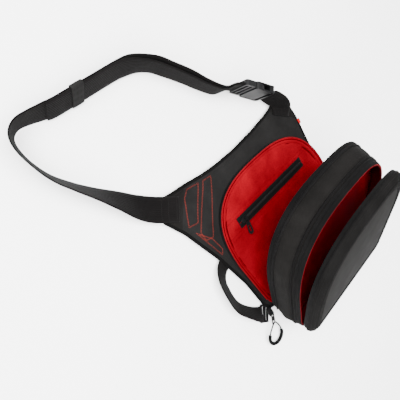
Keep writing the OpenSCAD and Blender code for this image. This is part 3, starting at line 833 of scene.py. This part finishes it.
pads = (("mesh_pad_upper", "back_pad_upper", [[-120, 36], [122, 36], [122, 100], [108, 138], [88, 146], [-60, 142], [-125, 146], [-150, 118], [-140, 70]], (70, 105)),
        ("mesh_pad_lower", "back_pad_lower", [[-112, 1], [-112, -90], [-100, -102], [100, -102], [118, -90], [120, 1]], (-70, -36)))
for nm, node, poly, chan in pads:
    lp = smooth_loop(inset(poly, 1.0), 3.0, 8.0)
    pd = slab(nm, lp, -1.0, 4.6, M_MESH, None, voxel=4.0)
    r0 = coords(pd)
    P = inflate(pd, 4.0, 3.0)
    di = signed_inside(r0[:, :2], lp)
    bot = np.clip((3.2 - r0[:, 2]) / 3.0, 0, 1)
    crown_ = np.clip(di / 14, 0, 1) ** 0.5
    for y in chan:
        crown_ *= 1 - 0.75 * np.exp(-((r0[:, 1] - y) / 3.2) ** 2)
    Q = r0 + (P - r0) * np.array([0.3, 0.3, 0])
    Dn = np.clip(r0[:, 2] - P[:, 2], 0, 3)
    Q[:, 2] = np.where(r0[:, 2] > 1.8, 4.55, 0) + bot * (4.0 - 3.6 * crown_ - 0.1 * Dn)
    Q[:, 2] = np.where(bot > 0.02, np.clip(4.2 - 3.5 * crown_ * bot - 0.15 * Dn * bot, 0.15, 4.6), 4.55)
    set_coords(pd, Q)
    sb = pd.modifiers.new("s", "SUBSURF")
    sb.levels = sb.render_levels = 1
    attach(pd, "root")
    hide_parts(node)

motif = ([[-146, 143], [-134, 152], [-112, 148], [-150, 100], [-167, 104]],
         [[-104, 146], [-86, 144], [-142, 66], [-156, 70], [-157, 86]],
         [[-163, 92], [-160, 80], [-146, 32], [-139, 40], [-145, 66]])
rows = []
for p in motif:
    for d in (0.1, 1.2):
        q = inset(p, d)
        q = np.concatenate([q, q[:1]])
        q = resample(np.column_stack([q, np.full(len(q), 6.0)]), 1.0)
        q = np.array([v for v in q if signed_inside([v[:2]], outline[::6])[0] < -1.0])
        rows += pieces_of(drop(q, WT, 0.16), 4.0)
stitches("motif_stitching", rows, M_THR, "root", pitch=2.3, ln=2.1, r=0.33, repl=("wing_motif",))

# small folded label on the right edge
tb = []
for k in range(9):
    a = math.pi * k / 8
    tb.append((137.0 - 0.55 * (1 - math.sin(a)) + 0.0, 7.4 - 0.5 * math.cos(a)))
prof = [(131.0, 6.9)] + tb + [(131.0, 7.9)]
V = [(x, y, z) for y in np.linspace(106, 115, 7) for x, z in prof]
Fc = grid_faces(7, len(prof)) + [tuple(range(len(prof))), tuple(6 * len(prof) + i for i in range(len(prof)))]
make("folded_label", V, Fc, M_TAB, "root", ("side_tab",))

# ------------------------------------------------------------------ rim of the main compartment
loft("rim_band", base_ring, [(6.4, 0.8), (7.6, 0.75), (9.2, 0.75), (10.6, 0.8), (10.9, 1.0), (10.9, 2.0), (10.5, 2.2), (6.4, 2.2)], M_FAB, "root", base_w, ("rim_gusset",), amp=0.12, scale=0.06)
loft("rim_red_wall", base_ring, [(7.0, 2.1), (11.2, 2.0), (12.0, 2.05), (12.4, 2.6), (12.3, 3.4), (11.2, 4.0), (11.0, 4.8), (11.3, 6.0), (11.1, 7.6), (10.4, 9.2), (9.3, 10.3), (8.0, 10.9), (7.0, 11.0)], M_RED, "root", base_w, ("rim_lining",), amps=[0, 0, 0, 0, 0, 0.1, 0.2, 0.4, 0.5, 0.6, 0.5, 0.3, 0.2], scale=0.06, seed=5)
# painted shade: dark red tubes along the rim wall's crease and at its lip, put where there is only shade, not a seam
loft("rim_wall_seam", base_ring, [(8.95 + 0.55 * math.cos(t), 11.4 + 0.7 * math.sin(t)) for t in np.linspace(0, 2 * math.pi, 8, endpoint=False)], M_SHADE_LINE, "root", base_w, (), amp=0.3, scale=0.06, seed=5)
loft("rim_lip_seam", base_ring, [(11.35 + 0.45 * math.cos(t), 4.6 + 0.5 * math.sin(t)) for t in np.linspace(0, 2 * math.pi, 8, endpoint=False)], M_SHADE_LINE, "root", base_w, ())
loft("main_tape_rim", base_ring, [(6.5, 0.1), (6.5, 0.8), (12.1, 0.8), (12.1, 0.25), (11.6, 0.0), (8.0, 0.0)], M_TAPE, "root", base_w, ("main_zip_panel_tape",), u_only=True)
tape_y = (zip_y - 15, zip_y + 15)


def lining_z(x, y, s):
    e = min(max((1 - s) * 14, 0), 1)
    q = min(max((abs(y - zip_y) - 9.5) / 12, 0), 1)
    seam = math.exp(-((y - zip_y - 17) / 1.6) ** 2) + math.exp(-((y - zip_y + 17) / 1.6) ** 2) + math.exp(-((y + 38) / 1.6) ** 2)
    r_ = 0.9 + 0.9 * nz((x, y, 0), 0.022, 2) + 0.5 * nz((x, y * 1.5, 0), 0.055, 6)
    return 8.55 + e * (q * max(r_, 0) * 1.4) - 0.5 * min(seam, 1) * q


loft("red_back_lining", base_ring, [(8.0, 3.2), (8.55, 3.25)], M_RED, "root", base_w, ("back_lining",), closed=False, fill=(48, lining_z))
BL = bvh(MADE["red_back_lining"])
rows = []
for y in (zip_y + 17, zip_y - 17, -38.0, zip_y + 11.5, zip_y - 11.5):
    xs = [x for x in np.arange(-134, 134, 1.5) if signed_inside([(x, y)], pouch(4.5)[::3] + np.array([0, hinge_y]))[0] > 0]
    rows.append(drop([(x, y + 0.0, 9) for x in xs], BL, 0.12))
# stitch rows on the back lining in the shaded red copy: real thread, partly painted shade in the seam grooves
stitches("lining_seams", rows, M_RED_SHADED, "root", pitch=2.6, ln=2.1, r=0.26)


def bar(name, x0, x1, y0, y1, z0, z1, mat, body, repl=(), nx=60, wav=0.25):
    """a strip of tape with soft edges and a little waviness"""
    prof = [(0, 0.5), (0.06, 0.05), (0.5, 0), (0.94, 0.05), (1, 0.5), (0.94, 0.95), (0.5, 1), (0.06, 0.95)]
    V = []
    for x in np.linspace(x0, x1, nx):
        w = wav * noise.noise(Vector((x * 0.03, y0, 1)))
        V += [(x, y0 + (y1 - y0) * a, z0 + (z1 - z0) * b + w * (0.5 + abs(a - 0.5))) for a, b in prof]
    n = len(prof)
    return make(name, V, grid_faces(nx, n) + [tuple(range(n)), tuple((nx - 1) * n + i for i in range(n))], mat, body, repl)


bar("inner_tape_upper", -91, 89, zip_y + 0.3, zip_y + 9.5, 8.75, 10.0, M_TAPE, "root", ("inner_zip_tape",))
bar("inner_tape_lower", -91, 89, zip_y - 9.5, zip_y - 0.3, 8.75, 10.0, M_TAPE, "root", ("inner_zip_tape",))
Pz = np.array([[x, zip_y, 9.95] for x in np.linspace(-85, 84, 60)])
teeth("inner_coil", Pz, np.tile([0, 1.0, 0], (60, 1)), np.array([0, 0, 1.0]), M_COILB, "root", base_w, ("inner_zip_coil",), pitch=1.5, size=(0.95, 4.2, 1.1))
stitches("inner_tape_stitching", [np.array([[x, zip_y + s, 10.1] for x in np.linspace(-89, 87, 90)]) for s in (7.2, -7.2)], M_THD, "root", pitch=2.6, ln=2.1, r=0.26)


def zip_line(ringf, z, d):
    return ringf(z, d)[: NU + 1], outward(ringf, z, d)[: NU + 1]


ZA = np.array([0, 0, 1.0])
for nm, ringf, zc, body, place, node in (("main_teeth_rim", base_ring, 11.5, "root", base_w, "main_zip_panel_teeth"),
                                         ("main_teeth_lid", lid_ring, 1.0, "lid", lid_w, "lid_zip_teeth"),
                                         ("front_teeth_lid", lid_ring, 52.6, "lid", lid_w, "front_zip_lid_teeth"),
                                         ("front_teeth_flap", flap_ring, 1.0, "flap", flap_w, "flap_zip_teeth")):
    P_, N_ = zip_line(ringf, zc, 1.35)
    teeth(nm, P_, N_, ZA, M_COIL, body, place, (node,), pitch=1.9, size=(1.2, 1.5, 1.2))

# ------------------------------------------------------------------ lid
loft("main_tape_lid", lid_ring, [(0.4, 0.25), (0.4, 0.8), (10.6, 0.8), (10.8, -0.2), (10.5, -1.0), (9.6, -1.35), (8.6, -1.1), (7.8, -0.3), (6.8, 0.25), (5.6, -0.3), (4.6, -0.5), (3.4, -0.3), (2.6, 0.1), (1.0, 0.0)], M_TAPE, "lid", lid_w, ("lid_zip_tape",), u_only=True)
pf, am = [], []
for z in np.linspace(1.6, 52.0, 44):
    b1 = max(math.sin(math.pi * (z - 11.5) / 25.5), 0) if 11.5 < z < 37 else 0
    b2 = max(math.sin(math.pi * (z - 39) / 6), 0) if 39 < z < 45 else 0
    pf.append((z, 0.8 - 2.0 * b1 ** 0.8 - 0.3 * b2 if 10 < z < 45 else 0.8))
    am.append(0.9 * b1 + 0.15 * b2)
pf += [(52.0, 2.2), (30.0, 2.25), (1.6, 2.2)]
am += [0, 0, 0]


def low_swell(P, z, d):
    """the lid's lower end is fuller than its frame"""
    if d > 2:
        return P
    g = math.sin(math.pi * min(max((z - 2) / 50, 0), 1)) ** 0.7
    Q = np.array(P)
    k = np.clip((14 - (P[:, 1] - low_at(z))) / 14, 0, 1)
    Q[:, 1] -= 6.0 * g * k * (0.75 + 0.5 * np.abs(np.array([nz(p, 0.02, 12) for p in P])))
    return Q


loft("lid_band", lid_ring, pf, M_FAB, "lid", lid_w, ("lid_gusset",), amps=am, scale=0.022, seed=2, sag=low_swell)
pp = [(38.4 + 1.2 * math.cos(t), -0.2 + 1.2 * math.sin(t)) for t in np.linspace(0, 2 * math.pi, 10, endpoint=False)]
loft("lid_cord_piping", lid_ring, pp, M_DARK, "lid", lid_w, ("lid_piping",), sag=lambda P, z, d: low_swell(P, 38.4, 0))
loft("front_tape_lid", lid_ring, [(42, 0.6), (41.9, -0.4), (42.4, -1.1), (43.4, -1.3), (44.3, -0.9), (45.2, 0.1), (46.2, 0.2), (47.4, -0.35), (48.8, -0.5), (50.2, -0.3), (51.2, 0.1), (52.9, 0.0), (53.2, 0.25), (53.2, 0.8), (42, 0.8)], M_TAPE, "lid", lid_w, ("front_zip_lid_tape",), u_only=True)


def ring_row(ringf, z, d, u_only=True):
    P_ = ringf(z, d)
    return P_[: NU + 1] if u_only else np.concatenate([P_, P_[:1]])


rows = [ring_row(lid_ring, z, d) for z, d in ((6.9, -0.0), (45.5, -0.1))]
stitches("lid_tape_stitching", rows, M_THD, "lid", pitch=3.2, ln=2.5, r=0.26, place=lid_w)
rows = [ring_row(lid_ring, z, d, False) for z, d in ((35.6, -0.55), (13.0, 0.1))]
stitches("lid_seam_stitching", rows, M_THD, "lid", pitch=3.2, ln=2.5, r=0.28, place=lid_w)

pf = [(0.5, 2.35), (0.4, 2.9), (0.8, 3.3)] + [(z, 3.3 + 0.8 * math.sin(math.pi * (z - 1) / 30)) for z in np.linspace(2, 30, 18)] + [(30.0, 2.35)]
am = [0, 0, 0.05] + [0.7 * math.sin(math.pi * (z - 1) / 30) for z in np.linspace(2, 30, 18)] + [0]
loft("lid_red_lining", lid_ring, pf, M_RED, "lid", lid_w, ("lid_lining",), amps=am, scale=0.03, seed=7)


def loft2(name, ringf, z0, z1, d0, d1, mat, body, place, repl, f0, f1, steps=24):
    """closed plate between two rings with its own lower and upper surface"""
    V, Fc = [], []
    n = NR
    for z, d, fz in ((z0, d0, f0), (z1, d1, f1)):
        last = ringf(z, d)
        c = np.array([0, (last[:, 1].max() + last[:, 1].min()) / 2, 0])
        base = len(V)
        for k in range(steps):
            s = 1 - k / steps
            Q = c + (last - c) * s
            Q[:, 2] = z if k == 0 else [fz(x, y, s) for x, y in Q[:, :2]]
            V += list(Q)
        V.append((c[0], c[1], fz(c[0], c[1], 0)))
        for k in range(steps - 1):
            for i in range(n):
                a, b = base + k * n + i, base + k * n + (i + 1) % n
                Fc.append((a, b, b + n, a + n))
        for i in range(n):
            Fc.append((base + (steps - 1) * n + i, base + (steps - 1) * n + (i + 1) % n, base + steps * n))
    m_ = n * steps + 1
    for i in range(n):
        Fc.append((i, (i + 1) % n, m_ + (i + 1) % n, m_ + i))
    return make(name, place(np.array(V)), Fc, mat, body, repl)


def edge_fade(s, k=10):
    return min(max((1 - s) * k, 0), 1)


loft2("red_divider", lid_ring, 30.0, 31.6, 2.35, 2.35, M_RED, "lid", lid_w, ("lid_divider",),
      lambda x, y, s: 30.0 - edge_fade(s) * (0.5 + 1.1 * nz((x, y, 0), 0.02, 3)), lambda x, y, s: 31.6 + edge_fade(s) * (0.4 + 0.5 * nz((x, y, 0), 0.03, 8)))
# ribbed lining of the front pocket, in the darker red copy of the lining: painted shade for the pocket's recess
ringA = lambda z, d: lid_ring(z, d)


def ribbed(z, d):
    P_ = lid_ring(z, d)
    if d < 2.6:
        return P_
    n_ = outward(lid_ring, z, d)
    s_ = np.concatenate([[0], np.cumsum(np.linalg.norm(np.diff(P_, axis=0), axis=1))])
    return P_ - n_ * (0.45 * np.abs(np.sin(math.pi * s_ / 7.0)))[:, None]


loft("pocket_red_lining", ribbed, [(31.7, 2.35), (53.0, 2.35), (53.2, 2.7), (53.0, 3.2), (48, 3.4), (42, 3.6), (36, 3.5), (31.7, 3.4)], M_RED_SHADED, "lid", lid_w, ("front_pocket_lining",), amp=0.2, seed=9)

# ------------------------------------------------------------------ front panel
loft("front_tape_flap", flap_ring, [(0.4, 0.25), (0.4, 0.8), (6, 0.8), (6, 0.3), (5.4, 0.0), (1.0, 0.0)], M_TAPE, "flap", flap_w, ("flap_zip_tape",), u_only=True)
loft("flap_band", flap_ring, [(1.6, 0.9), (1.6, 2.1), (6.9, 2.1), (6.9, 0.85), (4.0, 0.8)], M_FAB, "flap", flap_w, ("flap_gusset",))
pp = [(6.5 + 0.95 * math.cos(t), 0.1 + 0.95 * math.sin(t)) for t in np.linspace(0, 2 * math.pi, 8, endpoint=False)]
loft("flap_cord_piping", flap_ring, pp, M_DARK, "flap", flap_w, ("flap_piping",))
loft2("flap_red_lining", flap_ring, 0.45, 7.0, 2.4, 2.2, M_RED, "flap", flap_w, ("flap_lining",),
      lambda x, y, s: 5.6 if s > 0.97 else 6.1 + 0.4 * nz((x, y, 0), 0.03, 4), lambda x, y, s: 7.0)

shell = [(7, 0), (9, 0), (13, 2), (16.5, 6), (18.4, 11), (18.8, 16), (17.6, 20), (16.8, 21)]
sp_ = spline([[z, d, 0, 0, 0] for z, d in shell], 7)[:, :2]


def ridge(z, d):
    return z - 1.5 * math.exp(-((d - 8.6) / 0.8) ** 2) * (1 if z > 14 else 0) - 0.9 * math.exp(-((d - 15.2) / 0.7) ** 2)


pf = [(ridge(z, d), d) for z, d in sp_]


def flat_under(x, y, s):
    return 16.6


loft2("moulded_shell", flap_ring, 7.0, 7.05, 0.3, 0.05, M_MOULD, "flap", flap_w, (), lambda x, y, s: 7.0, lambda x, y, s: 7.05, steps=2) if False else None
loft("moulded_shell", flap_ring, pf + [(16.7, 21.6)], M_MOULD, "flap", flap_w, ("moulded_panel",), closed=False, fill=(3, flat_under))
loft("film_border", flap_ring, [(16.9 + 0.95 * math.cos(t), 21.3 + 0.95 * math.sin(t)) for t in np.linspace(0, 2 * math.pi, 10, endpoint=False)], M_DARK, "flap", flap_w, ())


def film_z(x, y, s):
    return 17.9 + 1.3 * (1 - s * s) + 0.06 * nz((x, y, 0), 0.03, 1)


loft("gloss_film", flap_ring, [(16.8, 21.6), (17.5, 21.6), (17.8, 22.3), (17.9, 23)], M_FILM, "flap", flap_w, ("centre_film",), closed=False, fill=(30, film_z))
rows = [ring_row(flap_ring, z, d, False) for z, d in ((12.0, 0.95), (18.95, 12.9))]
stitches("shell_stitching", rows, M_THD, "flap", pitch=3.4, ln=2.7, r=0.3, place=flap_w)


# ------------------------------------------------------------------ fabric hinges
def strip_x(name, prof, xs, mat, place):
    V = [(x, *p) for x in xs for p in prof]
    n = len(prof)
    return make(name, place(np.array(V, float)), grid_faces(len(xs), n) + [tuple(range(n)), tuple((len(xs) - 1) * n + i for i in range(n))], mat, None)


hs = strip_x("main_hinge_fabric", [(-103.2, 6.4), (-104.0, 6.4), (-104.8, 9.0), (-105.0, 12.5), (-106.6, 14.6), (-105.9, 14.9), (-104.1, 12.9), (-103.6, 9.5)], np.linspace(-106, 106, 60), M_FAB, base_w)
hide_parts("hinge_tape")
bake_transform(hs)
hf = strip_x("front_hinge_fabric", [(0.9 - bulge, 51.0), (0.0 - bulge, 51.0), (-0.7 - bulge, 53.6), (0.1 - bulge, 56.2), (0.9 - bulge, 56.2), (0.2 - bulge, 53.6)], np.linspace(-100, 83, 60), M_FAB, lid_w)
h0, h1 = lid_w(np.array([0, -0.4 - bulge, 52.0])) * MM, lid_w(np.array([0, 0.0 - bulge, 55.2])) * MM
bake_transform(hf)

# ------------------------------------------------------------------ webbing
belt_route = [[-152, 152, 8.25, 235, 0], [-172, 166, 8.4, 233, 3], [-186, 177, 5, 231, 10], [-202, 192, 1.8, 229, 24],
    [-222, 213, 2.6, 226, 44], [-243, 234, 2.6, 221, 60], [-262, 256, 2.6, 213, 68], [-278, 279, 2.6, 204, 72],
    [-287, 304, 2.6, 191, 74], [-289, 324, 2.6, 178, 73], [-286, 337, 2.6, 146, 73], [-276, 343, 2.6, 112, 73],
    [-262, 342, 2.6, 98, 71], [-244, 338, 2.6, 92, 66], [-226, 335, 2.6, 90, 63], [-180, 335, 2.6, 90, 63],
    [-134, 335, 2.6, 90, 63], [-113, 335.5, 2.6, 87, 67], [-93, 333, 2.6, 78, 78], [-73, 325, 2.6, 60, 86],
    [-59, 311.5, 2.6, 47, 88], [-37, 289, 2.6, 41, 90], [-19, 266, 2.6, 40, 92], [2, 244, 2.8, 46, 92], [21, 238, 4.2, 50, 91], [34, 230, 5.2, 48, 90], [42, 222.8, 5.6, 48, 90]]
tail_route = [[-240, 337, 2.6, 91, 65], [-226, 335, 2.6, 90, 63], [-180, 335, 2.6, 90, 63],
    [-134, 335, 2.6, 90, 63], [-114, 333.4, 2.6, 87, 67], [-95.5, 329.6, 2.6, 78, 78], [-77.5, 320.8, 2.6, 60, 86],
    [-63, 307.5, 2.6, 47, 88], [-41, 285, 2.6, 41, 90], [-21.5, 263, 2.6, 40, 92], [0.8, 242, 2.8, 46, 92], [20.4, 237.4, 4.2, 50, 91], [34, 230, 5.2, 48, 90], [40, 224.6, 5.6, 48, 90]]
anchor_route = [[70.2, 197.4, 5.6, 48, 90], [76.6, 191.7, 5.6, 44, 90], [80, 183, 5.4, -6, 72], [85, 173, 6.2, -24, 44],
    [89.5, 165, 8.1, -32, 16], [88.5, 158, 8.7, -34, 3], [84.5, 151.5, 8.3, -34, 0]]
leg_loop = [[118, 6, 1.4, 90, 0], [40, 6, 1.4, 90, 0], [-60, 6, 1.4, 90, 0], [-118, 6, 1.4, 92, 0], [-136, 6.5, 1.4, 100, 4],
    [-149, 5, 1.4, 118, 12], [-158, 0, 1.4, 142, 26], [-164, -9, 1.4, 160, 37], [-166.6, -24, 1.4, 174, 41], [-167.6, -38, 1.4, 184, 42],
    [-166.2, -50, 1.4, 194, 43], [-161.6, -61, 1.4, 206, 45], [-154.5, -72, 1.4, 214, 42], [-146.5, -81.5, 1.4, 222, 32], [-137, -89, 1.6, 232, 14]]
_, SB = ribbon("waist_belt", belt_route, web_w, web_t, M_WEB, "root", 0, 8, ("belt_webbing",))
ribbon("waist_belt_end", tail_route, web_w - 0.6, web_t - 0.3, M_WEB, "root", web_t + 0.35, 8, ("belt_tail",))
_, SA = ribbon("buckle_webbing", anchor_route, web_w, web_t, M_WEB, "root", 0, 8, ("buckle_anchor_webbing",))
ribbon("leg_belt", leg_loop, leg_w, 1.4, M_WEB, "root", 0, 8, ("leg_strap",), wave=0.15)


def on_ribbon(st, x, h):
    return st[:3] + across(st) * x + facing(st) * h


rows = []
for k in (2, 6, 10):                       # zig-zag bars over the belt's sewn end
    a = SB[k]
    rows.append(np.array([on_ribbon(a, x, web_t / 2 + 0.35) + (1.1 if i % 2 else -1.1) * np.array([0.7, -0.6, 0]) for i, x in enumerate(np.linspace(3, 35, 24))]))
stitches("belt_bar_stitching", rows, M_THD, "root", pitch=1.7, ln=1.6, r=0.34, repl=("belt_bartacks",))
rows = []
for st, n0, n1 in ((SA, 36, 48),):
    for x in (4, 19, 34):
        rows.append(np.array([on_ribbon(st[i], x, web_t / 2 + 0.25) for i in range(n0, n1)]))
    for i in (n0, n1 - 1):
        rows.append(np.array([on_ribbon(st[i], x, web_t / 2 + 0.25) for x in np.linspace(4, 34, 12)]))
stitches("anchor_box_stitching", rows, M_THD, "root", pitch=2.4, ln=2.0, r=0.32)

# elastic keeper round the belt and its end
kx = -204
kst = [kx, 335, 2.6, 90, 63]
ka, kn = across(kst), facing(kst)
lo_, hi_ = -web_t / 2 - 0.7, web_t * 1.5 + 1.3
ring = []
w_ = web_w + 0.9
r_ = (hi_ - lo_) / 2
mid = (hi_ + lo_) / 2
for t in np.linspace(-90, 90, 9):
    ring.append((w_ - r_ + 0.6 + r_ * math.cos(math.radians(t)), mid + r_ * math.sin(math.radians(t))))
for t in np.linspace(90, 270, 9):
    ring.append((-0.6 + r_ + r_ * math.cos(math.radians(t)) - 0.4, mid + r_ * math.sin(math.radians(t))))
ring = np.array(ring)
cen = np.array([w_ / 2, mid])
V, uvk = [], []
outp = [(0.0, 0.0), (0.4, 0.7), (1.5, 0.95), (9, 1.05), (16.5, 0.95), (17.6, 0.7), (18, 0.0)]
closed_prof = outp + [(17.5, -0.05), (9, -0.05), (0.5, -0.05)]
nrm = []
for i in range(len(ring)):
    t_ = ring[(i + 1) % len(ring)] - ring[i - 1]
    t_ /= np.linalg.norm(t_)
    nrm.append(np.array([t_[1], -t_[0]]))
for (x, h) in closed_prof:
    for i, q in enumerate(ring):
        v = q + nrm[i] * h
        V.append(np.array([kx + x, 335, 2.6]) + ka * v[0] + kn * v[1])
        uvk.append((x, i * 3.0))
make("keeper_elastic", V, grid_faces(len(closed_prof), len(ring), wrap_m=True), M_ELAS, "keeper", ("belt_keeper",), uv=uvk)

# ------------------------------------------------------------------ CAD parts that stay
for n_ in ("buckle_male", "buckle_female"):
    cad(n_, M_BUCK, 0.9, 3)
for n_ in ("buckle_prong_upper", "buckle_prong_lower"):
    cad(n_, M_BUCK, 0.5, 2)
cad("leg_triglide", M_BUCK, 0.8, 3)
for n_ in ("main_slider", "front_slider", "inner_slider", "inner_pull", "main_pull_tab", "front_pull_tab"):
    cad(n_, M_ZIPM, 0.3, 2)
for n_ in ("main_pull_grip", "front_pull_grip"):
    cad(n_, M_GRIP, 0.5, 3)
cad("panel_stiffener", M_DARK)

# ------------------------------------------------------------------ floor, light, sky
me = bpy.data.meshes.new("floor")
s_ = 4.0
me.from_pydata([(-s_, -s_, -0.0006), (s_, -s_, -0.0006), (s_, s_, -0.0006), (-s_, s_, -0.0006)], [], [(0, 1, 2, 3)])
fl = bpy.data.objects.new("floor", me)
bpy.context.scene.collection.objects.link(fl)
mt, t, b = nt("paper_floor")
tc = add(t, "ShaderNodeTexCoord")
nn_ = add(t, "ShaderNodeTexNoise", in_Scale=3.0, in_Detail=3.0)
t.links.new(tc.outputs["Object"], nn_.inputs["Vector"])
cr_ = ramp(t, nn_.outputs["Fac"], [(0.3, (0.93, 0.93, 0.93)), (0.7, (0.96, 0.96, 0.96))])
t.links.new(cr_.outputs[0], b.inputs["Base Color"])
b.inputs["Roughness"].default_value = 0.9
me.materials.append(mt)


def area(name, loc, target, size, power, col=(1, 1, 1)):
    ld = bpy.data.lights.new(name, "AREA")
    ld.shape, ld.size, ld.energy, ld.color = "DISK", size, power, col
    ob = bpy.data.objects.new(name, ld)
    ob.location = loc
    ob.rotation_euler = (Vector(target) - Vector(loc)).to_track_quat("-Z", "Y").to_euler()
    bpy.context.scene.collection.objects.link(ob)


tgt = (-0.03, 0.08, 0.05)
area("key", (-0.9, 1.1, 1.6), tgt, 1.3, 120)
area("fill", (-1.3, -0.5, 1.5), tgt, 1.6, 70)
area("top", (0.1, 0.2, 2.0), tgt, 1.6, 110)
wd = bpy.data.worlds.new("sky")
bpy.context.scene.world = wd
wd.use_nodes = True
bg = wd.node_tree.nodes["Background"]
bg.inputs[0].default_value = (1, 1, 1, 1)
bg.inputs[1].default_value = 1.2
